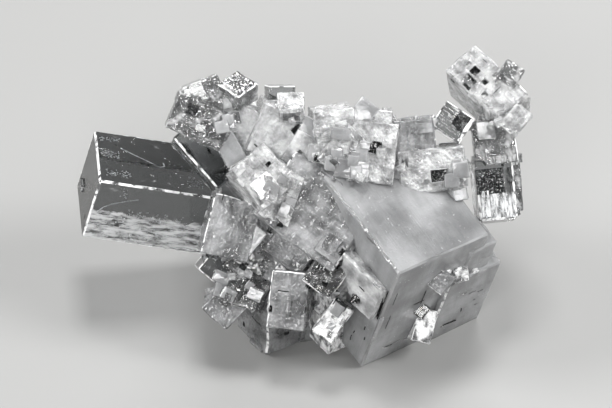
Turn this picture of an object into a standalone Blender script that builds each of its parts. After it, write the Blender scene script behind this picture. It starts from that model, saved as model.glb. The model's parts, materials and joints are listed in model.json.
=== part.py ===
"""Halite cluster: clear and milky cubes of rock salt grown into each other.

The cluster stands on the flat cut where it left the ground. Its largest block reaches out
to the front and right, a clear bar lies out to the left, a row of small cubes crowns the
back, and a tower of cubes leans out at the upper right. All crystals have grown together,
so they are joined in one solid. X runs along the cluster, -Y is its front, Z is up.
"""
import math
import random

import bmesh
import bpy
from mathutils import Euler, Matrix, Vector

MM = 0.001                    # every size below is in millimetres

NODE = "halite_cluster"

# Edges of halite cubes are slightly worn: a narrow flat along each one.
LARGE_CRYSTAL = 9.0           # a crystal longer than this counts as large
EDGE_LARGE = 0.28             # width of the worn edge on a large crystal
EDGE_SMALL = 0.14             # and on a small one

# The main block, given by its nearest top corner and its turn about X, Y and Z in degrees.
# In its own frame x runs to the right, y to the back and z up.
BLOCK_CORNER = (14.6, -19.5, 23.4)
BLOCK_TURN = (18, 3, 37)
BLOCK_WIDTH = 17.1
BLOCK_DEPTH = 22.5
BLOCK_HEIGHT = 24.3

# Crystals in the block's own orientation: name, then where each spans in the block's frame.
GROWN_ON_BLOCK = (
    ("right shoulder", (14.2, 19.4), (-0.3, 5.4), (-16.5, -3.0)),
    ("side block", (11.6, 21.5), (-0.9, 12.0), (-24.4, -8.7)),
    ("back step", (1.5, 13.0), (18.0, 25.2), (-20.0, -4.0)),
    ("under step", (2.5, 15.5), (14.0, 23.8), (-22.8, -10.0)),
)

# Every other crystal: name, size, centre, turn about X, Y and Z in degrees.
BAR = (
    ("clear bar", (23.1, 12.0, 11.2), (-20.8, 5.9, 17.4), (0, 15, 5)),
    ("bar end bud", (1.5, 1.6, 2.4), (-32.5, 8.3, 16.2), (0, 15, 5)),
)
HEAD_CUBES = (
    ("frosted cube", (8.8, 6.9, 5.6), (-15.0, 4.3, 33.2), (-37, 21, -13)),
    ("blue-grey cube", (3.6, 5.1, 3.0), (-15.7, 9.9, 34.0), (-37, -17, 15)),
    ("ribbed cube", (2.6, 5.1, 4.5), (-12.9, 8.9, 35.1), (-39, -15, 20)),
    ("peak cube", (4.3, 4.4, 3.2), (-9.3, 7.6, 36.0), (0, 2, -43)),
    ("small clear cube", (4.2, 3.3, 2.2), (-3.0, 10.5, 33.5), (-34, 6, 8)),
    ("hollow-faced cube", (3.9, 4.5, 2.4), (-1.3, 4.7, 35.4), (-5, -2, 1)),
    ("milky apex cube", (7.2, 10.5, 7.8), (-3.8, 5.8, 29.9), (-34, 23, -9)),
    ("plate cube", (3.3, 5.1, 6.0), (-11.1, 1.9, 29.4), (44, -11, 29)),
    ("clear plate", (5.1, 10.2, 6.9), (-14.0, 1.9, 28.5), (39, -24, 35)),
    ("white heart cube", (6.9, 7.8, 7.5), (-6.1, -2.6, 27.3), (38, -17, 40)),
    ("frosted strip", (5.1, 9.0, 7.8), (-2.6, -2.5, 24.1), (-40, 26, -9)),
    ("middle block", (15.0, 13.5, 11.7), (3.1, -2.5, 20.9), (-45, 21, -31)),
)
RIDGE_CUBES = (
    ("ridge tip", (3.3, 3.9, 4.5), (9.4, 4.8, 34.2), (43, 28, -27)),
    ("ridge cube", (6.0, 7.5, 6.0), (4.8, 3.9, 32.3), (-32, -1, 9)),
    ("ridge wedge", (2.6, 4.5, 3.6), (1.2, 2.9, 32.4), (-44, 21, -19)),
    ("ridge front cube", (5.7, 7.5, 6.9), (6.4, 1.5, 29.8), (-43, 37, -20)),
    ("ridge ledge", (3.9, 6.0, 5.4), (11.8, 4.5, 31.6), (-36, 2, -1)),
    ("ridge middle", (7.8, 7.5, 9.0), (10.4, 1.7, 29.2), (-40, 5, -4)),
    ("ridge foot cube", (6.3, 8.4, 5.4), (1.3, 2.2, 28.8), (-38, 23, -20)),
    ("ridge low cube", (5.1, 4.5, 3.0), (7.8, -1.9, 29.1), (-31, 9, -8)),
    ("saddle cube", (9.3, 4.5, 6.6), (10.8, 1.1, 26.6), (44, -4, 3)),
    ("left saddle cube", (6.0, 6.6, 3.3), (4.5, -0.1, 26.0), (-44, 23, -20)),
)
SHELF_CUBES = (
    ("ribbed shelf", (6.8, 8.4, 11.1), (17.0, 3.1, 27.5), (-37, -5, 4)),
    ("front shelf", (10.2, 8.4, 6.4), (19.7, 1.4, 26.2), (-37, -5, 4)),
    ("shelf bead", (2.1, 3.0, 1.8), (24.0, -3.0, 24.9), (-40, -8, 6)),
)
TOWER_CUBES = (
    ("dark window cube", (5.1, 4.5, 6.9), (22.8, 6.4, 31.0), (45, 25, -23)),
    ("tower head", (6.1, 11.6, 9.3), (28.3, 11.0, 32.8), (17, -22, 39)),
    ("tower bud", (3.3, 3.9, 3.3), (31.4, 10.1, 37.3), (-44, 23, -20)),
    ("tower cheek", (3.3, 4.2, 3.9), (32.1, 4.1, 33.4), (42, 29, -28)),
    ("tower neck", (6.3, 6.6, 6.6), (29.1, 5.9, 27.6), (-40, -6, 5)),
    ("tower foot", (5.7, 6.9, 9.4), (29.0, 1.3, 22.1), (-44, 0, 8)),
    ("tower foot edge", (2.6, 6.0, 8.1), (31.8, 2.3, 22.4), (-40, -3, 3)),
)
# Smaller crystals on the main block's left face and in the groove of its front.
BLOCK_CUBES = (
    ("left ledge", (10.2, 5.4, 6.7), (9.7, -12.6, 16.6), (-11, 16, -44)),
    ("grey groove cube", (2.8, 3.9, 3.3), (21.3, -11.9, 15.7), (-39, 25, -31)),
    ("white groove cube", (2.2, 3.0, 2.0), (23.8, -9.8, 15.4), (-11, -4, 15)),
    ("bright groove crystal", (3.0, 3.9, 5.1), (18.4, -9.9, 5.1), (-39, 17, -1)),
    ("bright groove tip", (1.8, 2.1, 2.7), (18.2, -11.0, 8.9), (42, 29, -28)),
)
FOOT_CUBES = (
    ("grey wedge", (7.2, 9.0, 9.0), (-10.6, -4.6, 19.8), (-40, 14, -5)),
    ("banded cube", (6.9, 6.6, 3.9), (-11.7, -6.6, 12.8), (-44, 35, -22)),
    ("left foot cube", (5.0, 6.9, 5.1), (-11.1, -8.9, 8.6), (-37, 35, -25)),
    ("front foot cube", (7.4, 8.1, 11.2), (-4.1, -6.5, 6.0), (2, 1, 35)),
    ("smooth foot cube", (5.7, 9.0, 8.7), (-1.3, -10.5, 11.3), (-32, 2, -8)),
    ("sparkling foot cube", (5.0, 5.6, 13.4), (4.9, -8.2, 7.2), (2, 1, 35)),
    ("sparkling twin", (3.3, 6.0, 6.0), (5.0, -14.3, 10.1), (-41, 25, -23)),
    ("left foot bud", (2.7, 3.6, 2.4), (-12.6, -8.7, 10.2), (-42, -7, 17)),
    ("inner foot cube", (5.1, 6.0, 7.5), (4.0, -10.4, 15.7), (44, 26, -24)),
    ("dark waist cube", (6.9, 5.1, 9.0), (-1.3, -5.1, 16.1), (44, 27, -25)),
    ("left waist cube", (6.0, 7.5, 5.1), (-7.4, -6.1, 14.2), (-45, 24, -22)),
    ("lower waist cube", (6.0, 7.5, 4.8), (-8.0, -8.9, 10.9), (-42, 15, -13)),
    ("upper waist cube", (4.5, 4.5, 7.5), (-8.0, -5.7, 19.0), (43, 28, -27)),
)
# Blocks in the middle, nearly hidden, which the outer crystals grew out from.
INNER_BLOCKS = (
    ("inner block", (25.0, 10.0, 15.0), (4.0, 4.5, 18.5), (0, 0, 4)),
    ("tilted inner block", (27.0, 9.0, 9.0), (4.5, 1.5, 21.5), (-45, 5, -5)),
    ("left inner block", (9.0, 9.0, 11.0), (-6.5, 3.8, 22.5), (0, 0, -12)),
    ("waist inner block", (8.4, 6.9, 7.2), (-4.8, -6.0, 16.1), (-43, 28, -17)),
    ("wedge inner block", (6.6, 6.9, 6.0), (-10.2, -2.8, 18.6), (-41, 21, -10)),
    ("head inner block", (8.4, 7.5, 6.9), (-9.3, 6.6, 30.2), (-37, 12, -18)),
)
# The far side and the underside, where the cluster grew from the ground.
BACK_CUBES = (
    ("front root", (17.0, 14.5, 15.0), (2.0, -0.2, 5.5), (0, 0, 12)),
    ("back root", (15.0, 12.0, 15.5), (8.5, 8.5, 5.2), (0, 0, -20)),
    ("left root", (9.5, 11.0, 17.0), (-6.5, 6.5, 8.0), (6, -5, 30)),
    ("back shoulder", (11.0, 10.0, 11.0), (-2.0, 9.5, 19.5), (20, 10, -25)),
    ("back right cube", (11.0, 11.0, 11.5), (12.0, 8.5, 18.5), (-15, 12, 40)),
    ("back stud", (7.0, 7.0, 7.0), (4.5, 13.6, 14.0), (30, 20, 10)),
    ("back left stud", (6.0, 6.0, 7.0), (-5.5, 12.6, 12.5), (-25, 15, 35)),
    ("low back cube", (8.0, 8.0, 9.0), (16.0, 11.5, 8.0), (15, -20, 25)),
    ("right back cube", (7.0, 8.0, 8.0), (17.5, 8.0, 15.5), (-20, 10, 15)),
    ("upper back cube", (5.0, 5.0, 6.0), (3.0, 13.0, 22.5), (40, 10, 20)),
    ("bar back cube", (6.0, 6.5, 6.0), (-13.0, 10.5, 20.5), (25, -15, 20)),
    ("crown back cube", (6.5, 6.0, 7.0), (11.5, 7.5, 26.0), (15, 25, -10)),
)

# Square etch pits and hollow faces: name, size, centre on the face, turn as the host's.
HEAD_TURN = (17, -22, 39)
PITS = (
    ("head pit", (1.4, 1.2, 1.4), (26.2, 10.6, 37.6), HEAD_TURN),
    ("head furrow", (0.7, 2.0, 1.2), (25.6, 9.5, 37.0), HEAD_TURN),
    ("head lower furrow", (0.6, 1.5, 1.2), (24.9, 8.5, 36.4), HEAD_TURN),
    ("head side pit", (0.9, 0.9, 1.2), (27.6, 8.9, 36.9), HEAD_TURN),
    ("head right pit", (0.9, 0.9, 1.2), (27.6, 7.0, 35.9), HEAD_TURN),
    ("head top pit", (0.8, 0.6, 1.0), (25.2, 11.7, 38.1), HEAD_TURN),
    ("frosted cube pit", (1.7, 2.4, 1.7), (-16.0, 2.5, 36.7), (-37, 21, -13)),
    ("frosted cube low pit", (1.5, 2.4, 1.2), (-14.8, 0.9, 34.4), (-37, 21, -13)),
    ("frosted cube top pit", (0.9, 1.6, 0.7), (-14.6, 4.1, 36.8), (-37, 21, -13)),
    ("ridge pit", (1.5, 2.2, 1.2), (11.5, -0.5, 32.4), (-40, 5, -4)),
    ("shelf pit", (0.8, 2.0, 1.3), (15.6, -1.3, 29.6), (-37, -5, 4)),
    ("shelf dot", (0.5, 1.2, 0.5), (22.0, 0.0, 31.3), (-37, -5, 4)),
    ("shelf square", (0.7, 1.0, 0.7), (21.6, -2.3, 28.3), (-37, -5, 4)),
    ("ledge hole", (2.4, 3.6, 2.4), (6.9, -14.1, 13.9), (44, 26, -24)),
    ("window recess", (2.0, 2.6, 3.2), (24.0, 3.8, 33.3), (45, 25, -23)),
    ("foot window", (4.4, 2.0, 3.8), (28.4, -0.4, 25.3), (-44, 0, 8)),
    ("hollow face", (2.6, 2.4, 1.5), (-1.3, 2.5, 35.4), (-5, -2, 1)),
    ("waist hollow", (2.7, 4.0, 1.6), (-6.9, -8.5, 17.2), (-45, 24, -22)),
    ("waist low hollow", (2.1, 3.0, 1.1), (-6.3, -9.7, 15.7), (-45, 24, -22)),
    ("banded hollow", (2.0, 3.4, 1.3), (-9.4, -9.7, 13.6), (-44, 35, -22)),
    ("heart pit", (0.8, 1.2, 0.8), (-6.0, -8.0, 27.8), (38, -17, 40)),
    ("front cube slot", (1.6, 1.6, 0.7), (5.0, -2.6, 30.9), (-43, 37, -20)),
    ("block slit", (5.2, 1.6, 0.35), (14.8, -11.0, 2.8), BLOCK_TURN),
    ("side block slit", (2.6, 1.6, 0.35), (22.5, -6.6, 2.7), BLOCK_TURN),
)

# Small cubes that grew last, along the seams between the larger ones: middle of each patch,
# the way it faces, its radius, how many cubes, and the turn that they share.
FROM_FRONT = (0.0, -0.77, 0.64)
FROM_BACK = (0.0, 0.94, 0.34)
SEAMS = (
    ((-2.6, -2.6, 24.6), FROM_FRONT, 2.6, 7, (-40, 26, -9)),
    ((4.4, 1.7, 30.6), FROM_FRONT, 3.0, 8, (-32, 4, 4)),
    ((9.6, 0.6, 29.2), FROM_FRONT, 3.2, 9, (-40, 5, -4)),
    ((-8.9, -8.4, 12.4), FROM_FRONT, 3.2, 8, (-42, 20, -16)),
    ((3.9, -12.6, 10.4), FROM_FRONT, 2.4, 5, (-41, 25, -23)),
    ((22.6, 1.4, 26.4), FROM_FRONT, 2.4, 5, (-37, -5, 4)),
    ((-11.2, 5.4, 32.2), FROM_FRONT, 2.6, 7, (-36, -8, 6)),
    ((29.4, 7.0, 30.4), FROM_FRONT, 2.2, 4, (-30, -14, 12)),
    ((2.0, 12.0, 20.0), FROM_BACK, 7.0, 9, (24, 14, 16)),
    ((14.0, 10.0, 15.0), FROM_BACK, 5.0, 6, (-18, 12, 32)),
)
SEAM_CUBE_SMALLEST = 1.1
SEAM_CUBE_LARGEST = 2.4
SEAM_CUBE_STRETCH = (0.8, 1.25)
SEAM_SUNK = 0.22              # how far a seam cube's middle lies under the surface, in its sides
SEAM_WOBBLE = 9               # degrees by which a seam cube may stray from its patch's turn
OUTSIDE = 60.0                # a distance that is always clear of the cluster
SEED = 41

GROUND_SIZE = 120.0           # the block of ground that the base is cut off along

# The material: rock salt, milky where it is full of tiny brine pockets.
SALT_COLOUR = (0.80, 0.81, 0.83, 1.0)
SALT_ROUGHNESS = 0.12
SALT_IOR = 1.544


def clear_scene():
    for old in list(bpy.data.objects):
        bpy.data.objects.remove(old, do_unlink=True)


def new_collection(name):
    collection = bpy.data.collections.new(name)
    bpy.context.scene.collection.children.link(collection)
    return collection


def salt_material():
    material = bpy.data.materials.new("halite")
    material.use_nodes = True
    shader = material.node_tree.nodes["Principled BSDF"]
    shader.inputs["Base Color"].default_value = SALT_COLOUR
    shader.inputs["Roughness"].default_value = SALT_ROUGHNESS
    shader.inputs["Metallic"].default_value = 0.0
    shader.inputs["IOR"].default_value = SALT_IOR
    shader.inputs["Transmission Weight"].default_value = 0.9
    return material


def turn_matrix(turn):
    return Euler([math.radians(angle) for angle in turn], "XYZ").to_matrix().to_4x4()


def crystal(name, size, centre, turn, collection, worn=True):
    """One cube or block of salt with its worn edges, as an object in the given collection."""
    bm = bmesh.new()
    bmesh.ops.create_cube(bm, size=1.0)
    bmesh.ops.scale(bm, vec=Vector(size), verts=bm.verts)
    if worn:
        edge = EDGE_LARGE if max(size) > LARGE_CRYSTAL else EDGE_SMALL
        bmesh.ops.bevel(bm, geom=bm.edges[:], offset=edge, segments=1, affect="EDGES")
    place = Matrix.Translation(Vector(centre)) @ turn_matrix(turn)
    bmesh.ops.transform(bm, matrix=Matrix.Scale(MM, 4) @ place, verts=bm.verts)
    mesh = bpy.data.meshes.new(name)
    bm.to_mesh(mesh)
    bm.free()
    solid = bpy.data.objects.new(name, mesh)
    collection.objects.link(solid)
    return solid


def as_guide(solid):
    """A solid that only shapes the cluster: drawn as wire, never rendered."""
    solid.display_type = "WIRE"
    solid.hide_render = True
    return solid


def in_block(across, back, up):
    """Size and centre of a crystal that spans these ranges in the main block's frame."""
    spans = (across, back, up)
    size = [high - low for low, high in spans]
    middle = Vector([(low + high) / 2 for low, high in spans])
    centre = Vector(BLOCK_CORNER) + turn_matrix(BLOCK_TURN).to_3x3() @ middle
    return size, centre


def main_block(collection):
    size, centre = in_block((0.0, BLOCK_WIDTH), (0.0, BLOCK_DEPTH), (-BLOCK_HEIGHT, 0.0))
    return crystal(NODE, size, centre, BLOCK_TURN, collection)


def block_growth(collection):
    for name, across, back, up in GROWN_ON_BLOCK:
        size, centre = in_block(across, back, up)
        as_guide(crystal(name, size, centre, BLOCK_TURN, collection))


def listed_crystals(collection):
    groups = (BAR, HEAD_CUBES, RIDGE_CUBES, SHELF_CUBES, TOWER_CUBES,
              BLOCK_CUBES, FOOT_CUBES, INNER_BLOCKS, BACK_CUBES)
    for group in groups:
        for name, size, centre, turn in group:
            as_guide(crystal(name, size, centre, turn, collection))


def seam_crystals(solid, collection):
    """Small late cubes set into the surface along the seams, nearly parallel in each patch."""
    graph = bpy.context.evaluated_depsgraph_get()
    grown = solid.evaluated_get(graph)
    chance = random.Random(SEED)
    for patch, (middle, facing, radius, count, turn) in enumerate(SEAMS):
        out = Vector(facing).normalized()
        aside = out.orthogonal().normalized()
        for number in range(count):
            reach = radius * math.sqrt(chance.random())
            spoke = Matrix.Rotation(chance.uniform(0.0, math.tau), 3, out) @ aside
            start = Vector(middle) + spoke * reach + out * OUTSIDE
            side = chance.uniform(SEAM_CUBE_SMALLEST, SEAM_CUBE_LARGEST)
            size = [side * chance.uniform(*SEAM_CUBE_STRETCH) for _ in range(3)]
            own_turn = [angle + chance.uniform(-SEAM_WOBBLE, SEAM_WOBBLE) for angle in turn]
            found, place, _, _ = grown.ray_cast(start * MM, -out)
            if found:
                centre = place / MM - out * side * SEAM_SUNK
                as_guide(crystal(f"seam cube {patch}.{number}", size, centre, own_turn, collection))


def pits(collection):
    for name, size, centre, turn in PITS:
        as_guide(crystal(name, size, centre, turn, collection, worn=False))


def ground(collection):
    """Everything below Z = 0, which the cluster is cut off along."""
    size = (GROUND_SIZE, GROUND_SIZE, GROUND_SIZE)
    centre = (0.0, 0.0, -GROUND_SIZE / 2)
    return as_guide(crystal("ground", size, centre, (0, 0, 0), collection, worn=False))


def combine(solid, name, operation, other):
    """A Boolean modifier against one object or a whole collection of them."""
    modifier = solid.modifiers.new(name, "BOOLEAN")
    modifier.operation = operation
    modifier.solver = "EXACT"
    if isinstance(other, bpy.types.Collection):
        modifier.operand_type = "COLLECTION"
        modifier.collection = other
    else:
        modifier.object = other


def stand_at_origin(solid, guides):
    """Moves everything along the ground so that the origin is under the cluster's middle."""
    graph = bpy.context.evaluated_depsgraph_get()
    corners = [Vector(corner) for corner in solid.evaluated_get(graph).bound_box]
    middle_x = (min(c.x for c in corners) + max(c.x for c in corners)) / 2
    middle_y = (min(c.y for c in corners) + max(c.y for c in corners)) / 2
    shift = Matrix.Translation((-middle_x, -middle_y, 0.0))
    for thing in [solid] + guides:
        thing.data.transform(shift)


def build():
    clear_scene()
    cluster = new_collection("Halite cluster")
    joined = new_collection("Crystals joined to the block")
    late = new_collection("Small crystals along the seams")
    cuts = new_collection("Pits and ground")
    solid = main_block(cluster)
    solid.data.materials.append(salt_material())
    block_growth(joined)
    listed_crystals(joined)
    combine(solid, "Grown together", "UNION", joined)
    seam_crystals(solid, late)
    combine(solid, "Late crystals", "UNION", late)
    pits(cuts)
    ground(cuts)
    combine(solid, "Pits and cut base", "DIFFERENCE", cuts)
    stand_at_origin(solid, list(joined.objects) + list(late.objects) + list(cuts.objects))


build()
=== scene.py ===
# %% [markdown]
# # A cluster of halite crystals
#
# Halite is rock salt. It grows as cubes, because its atoms sit on a cubic lattice, and cubes
# that start close together grow into each other. This lesson dresses the plain solid of such
# a cluster: it adds the small late crystals, the low growth steps and the etch pits, sets
# veils of tiny bubbles inside the clear salt, and gives every crystal a finish whose fine
# lines follow that crystal's own edges.

# %% Load the solid
import json
import math
import random

import bpy
import bmesh
from mathutils import Euler, Matrix, Vector
from mathutils.noise import noise_vector, seed_set

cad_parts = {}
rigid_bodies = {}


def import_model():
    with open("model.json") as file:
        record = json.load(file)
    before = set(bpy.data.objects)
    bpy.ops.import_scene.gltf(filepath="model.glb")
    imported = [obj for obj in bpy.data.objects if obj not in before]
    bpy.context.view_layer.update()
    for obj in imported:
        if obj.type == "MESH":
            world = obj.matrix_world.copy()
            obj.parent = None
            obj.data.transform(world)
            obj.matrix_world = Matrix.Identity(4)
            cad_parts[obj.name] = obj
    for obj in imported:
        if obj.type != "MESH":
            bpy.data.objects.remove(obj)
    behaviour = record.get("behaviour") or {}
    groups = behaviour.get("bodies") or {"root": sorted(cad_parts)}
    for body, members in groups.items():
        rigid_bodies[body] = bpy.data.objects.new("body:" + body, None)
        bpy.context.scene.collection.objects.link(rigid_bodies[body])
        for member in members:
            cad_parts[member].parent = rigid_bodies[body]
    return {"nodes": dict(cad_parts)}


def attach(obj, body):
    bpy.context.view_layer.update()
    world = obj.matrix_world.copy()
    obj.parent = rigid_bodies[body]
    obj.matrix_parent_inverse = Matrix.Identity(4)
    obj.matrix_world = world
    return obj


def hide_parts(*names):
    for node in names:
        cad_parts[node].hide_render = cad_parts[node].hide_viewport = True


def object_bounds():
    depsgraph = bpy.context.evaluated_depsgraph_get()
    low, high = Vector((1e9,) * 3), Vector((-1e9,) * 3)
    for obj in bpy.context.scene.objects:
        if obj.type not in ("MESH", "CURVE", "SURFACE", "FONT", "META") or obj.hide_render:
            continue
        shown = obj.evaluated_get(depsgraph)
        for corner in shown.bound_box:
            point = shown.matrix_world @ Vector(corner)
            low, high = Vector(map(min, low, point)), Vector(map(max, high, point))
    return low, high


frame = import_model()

MM = 0.001
NODE = "halite_cluster"
low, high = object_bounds()
print("the solid measures", [round((h - l) / MM, 1) for l, h in zip(low, high)], "mm")

# %% [markdown]
# ## Camera
#
# The cluster is seen from the front and from 40 degrees above the floor. A long lens a metre
# away keeps the cubes' edges nearly parallel. `PICTURE_SCALE` is how much of the object one
# pixel of the picture covers, so the lens follows from it and from the distance.

# %% Camera
PICTURE_WIDTH = 612           # pixels
PICTURE_SCALE = 0.15          # millimetres of the object to one pixel
CAMERA_ELEVATION = 40.0       # degrees above the floor
CAMERA_DISTANCE = 1.0         # metres
LOOK_AT = Vector((0.44, 0.28, 20.5)) * MM
SENSOR = 36.0

camera_data = bpy.data.cameras.new("camera")
camera = bpy.data.objects.new("camera", camera_data)
bpy.context.scene.collection.objects.link(camera)
bpy.context.scene.camera = camera
up = math.radians(CAMERA_ELEVATION)
away = Vector((0.0, -math.cos(up), math.sin(up)))
camera.location = LOOK_AT + away * CAMERA_DISTANCE
camera.rotation_euler = (-away).to_track_quat("-Z", "Y").to_euler()
camera_data.sensor_width = SENSOR
camera_data.lens = SENSOR * CAMERA_DISTANCE / (PICTURE_WIDTH * PICTURE_SCALE * MM)
print("lens", round(camera_data.lens), "mm")

# %% [markdown]
# ## Floor and light
#
# The floor is one pale board, painted with a roller and dull. Clear crystals have hardly any
# colour of their own: they show what lies behind them and around them. So the light comes
# from a few large soft panels in an otherwise dim room, and the faces of the crystals then
# swing between the bright panels, the pale floor and the dark room between them.

# %% Helpers for colours and nodes
def linear(hex_colour):
    """A #rrggbb screen colour as the linear values that the shaders use."""
    channels = [int(hex_colour[i:i + 2], 16) / 255 for i in (1, 3, 5)]
    return [c / 12.92 if c <= 0.04045 else ((c + 0.055) / 1.055) ** 2.4 for c in channels] + [1.0]


def add_node(tree, kind, settings=None, inputs=None):
    """Adds a node. Settings are its own options, inputs are socket values or output sockets."""
    node = tree.nodes.new(kind)
    for name, value in (settings or {}).items():
        setattr(node, name, value)
    for name, value in (inputs or {}).items():
        if isinstance(value, bpy.types.NodeSocket):
            tree.links.new(value, node.inputs[name])
        else:
            node.inputs[name].default_value = value
    return node


# %% Floor
FLOOR_SIZE = 3.0              # metres
FLOOR_PAINT = "#8b8b8a"
FLOOR_DULL = 0.6
bpy.ops.object.select_all(action="DESELECT")
bpy.ops.mesh.primitive_plane_add(size=FLOOR_SIZE, location=(0, 0, 0))
floor = bpy.context.object
floor.name = "floor"
floor_material = bpy.data.materials.new("painted board")
floor_material.use_nodes = True
paint = floor_material.node_tree.nodes["Principled BSDF"]
paint.inputs["Base Color"].default_value = linear(FLOOR_PAINT)
paint.inputs["Roughness"].default_value = FLOOR_DULL
floor.data.materials.append(floor_material)
print("a floor", FLOOR_SIZE, "m wide")

# %% Light panels and room
ROOM_LIGHT = 0.06
PANELS = (                    # name, place, width and height in metres, power in watts
    ("left panel", (-0.55, -0.05, 0.40), (0.22, 0.28), 4.0),
    ("back panel", (0.15, 0.75, 0.16), (0.45, 0.18), 6.0),
    ("right panel", (0.55, -0.10, 0.42), (0.18, 0.26), 5.0),
    ("front panel", (-0.15, -0.75, 0.50), (0.40, 0.28), 5.5),
    ("top panel", (0.0, 0.15, 0.85), (0.22, 0.22), 5.0),
)
world = bpy.data.worlds.new("dim room")
world.use_nodes = True
room = world.node_tree.nodes["Background"]
room.inputs["Color"].default_value = (1.0, 1.0, 1.0, 1.0)
room.inputs["Strength"].default_value = ROOM_LIGHT
bpy.context.scene.world = world
for name, place, (width, height), power in PANELS:
    data = bpy.data.lights.new(name, "AREA")
    data.shape = "RECTANGLE"
    data.size = width
    data.size_y = height
    data.energy = power
    panel = bpy.data.objects.new(name, data)
    bpy.context.scene.collection.objects.link(panel)
    panel.location = place
    panel.rotation_euler = (LOOK_AT - Vector(place)).to_track_quat("-Z", "Y").to_euler()
bpy.context.scene.view_settings.view_transform = "Standard"
print(len(PANELS), "panels of light")

# %% [markdown]
# ## The body of the cluster
#
# The solid already has every large crystal in its place. It comes as loose triangles, so the
# copy is merged first. Then a limited dissolve melts the triangles of each flat crystal face
# into one face, which the next steps can measure: where it is, how large it is, and which
# way its edges run. The copy stands for the solid, which stays behind for the collisions.

# %% Copy the solid and melt its triangles into whole faces
WELD = 1e-6                   # metres: points closer than this are one point
FLAT = math.radians(0.4)      # faces that meet flatter than this are one face


def only(piece):
    """Selects one object and nothing else, and makes it the active one."""
    bpy.ops.object.select_all(action="DESELECT")
    piece.select_set(True)
    bpy.context.view_layer.objects.active = piece


def odd_edges(mesh):
    """How many edges don't join exactly two faces. A closed surface has none."""
    bm = bmesh.new()
    bm.from_mesh(mesh)
    count = sum(1 for edge in bm.edges if not edge.is_manifold)
    bm.free()
    return count


solid = frame["nodes"][NODE]
cluster = bpy.data.objects.new("crystals", solid.data.copy())
bpy.context.scene.collection.objects.link(cluster)
cluster.data.materials.clear()
only(cluster)
bpy.ops.object.mode_set(mode="EDIT")
bpy.ops.mesh.select_all(action="SELECT")
bpy.ops.mesh.remove_doubles(threshold=WELD)
bpy.ops.mesh.dissolve_limited(angle_limit=FLAT)
bpy.ops.object.mode_set(mode="OBJECT")
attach(cluster, "root")
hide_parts(NODE)
print(len(solid.data.polygons), "triangles melted into", len(cluster.data.polygons),
      "faces,", odd_edges(cluster.data), "odd edges")

# %% [markdown]
# ## Which way each face's edges run
#
# Every crystal has its own turn, and on halite everything follows it: steps, pits, cracks.
# A face's edges mostly run along the cube's two directions, at right angles to each other.
# So each edge votes for its angle, four times over, because a quarter turn makes no
# difference, and a long edge has more votes. Flat pieces in one plane vote together.

# %% Measure the faces
WIDE_PLANE = 10.0             # square mm


def plane_of(polygon):
    """A key that all pieces of one flat face share: its direction and how far out it lies."""
    normal = polygon.normal
    distance = normal.dot(polygon.center) / MM
    return tuple(round(value, 2) for value in normal) + (round(distance, 1),)


def edge_direction(mesh, polygons):
    """The direction in a flat face that most of its edges follow or cross at right angles.
    Of those two, the one in which the face is longer."""
    normal = polygons[0].normal
    across = normal.orthogonal().normalized()
    along = normal.cross(across)
    vote_x = vote_y = 0.0
    for polygon in polygons:
        points = [mesh.vertices[index].co for index in polygon.vertices]
        for start, end in zip(points, points[1:] + points[:1]):
            step = end - start
            angle = 4 * math.atan2(step.dot(along), step.dot(across))
            vote_x += step.length * math.cos(angle)
            vote_y += step.length * math.sin(angle)
    angle = math.atan2(vote_y, vote_x) / 4
    first = across * math.cos(angle) + along * math.sin(angle)
    spans = []
    for way in (first, normal.cross(first)):
        reach = [mesh.vertices[index].co.dot(way)
                 for polygon in polygons for index in polygon.vertices]
        spans.append((max(reach) - min(reach), way))
    return spans[0][1] if spans[0][0] >= spans[1][0] else spans[1][1]


def measure_faces(mesh):
    """For every polygon, the direction of its plane's edges, and its plane's whole area."""
    planes = {}
    for polygon in mesh.polygons:
        planes.setdefault(plane_of(polygon), []).append(polygon)
    direction = {}
    area = {}
    for polygons in planes.values():
        shared = edge_direction(mesh, polygons)
        whole = sum(polygon.area for polygon in polygons) / MM ** 2
        for polygon in polygons:
            direction[polygon.index] = shared
            area[polygon.index] = whole
    return direction, area


direction, area = measure_faces(cluster.data)
print(sum(1 for value in area.values() if value > WIDE_PLANE),
      "polygons lie in planes over", WIDE_PLANE, "square mm")

# %% [markdown]
# ## The finishes of one salt
#
# Halite refracts light by 1.544 and has no colour of its own. What the eye sees is its
# surface and the clouds inside it, so a finish is a row of numbers: the colours of clear and
# of cloudy salt, how much light each lets through, how rough each is, and the heights of the
# relief on it. They are written on the faces as attributes, and one material reads them. Each
# finish could have been a material of its own. But the salt also absorbs light on its way
# through, and Cycles only ends that when a ray leaves by the same material as it came in by.

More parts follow.
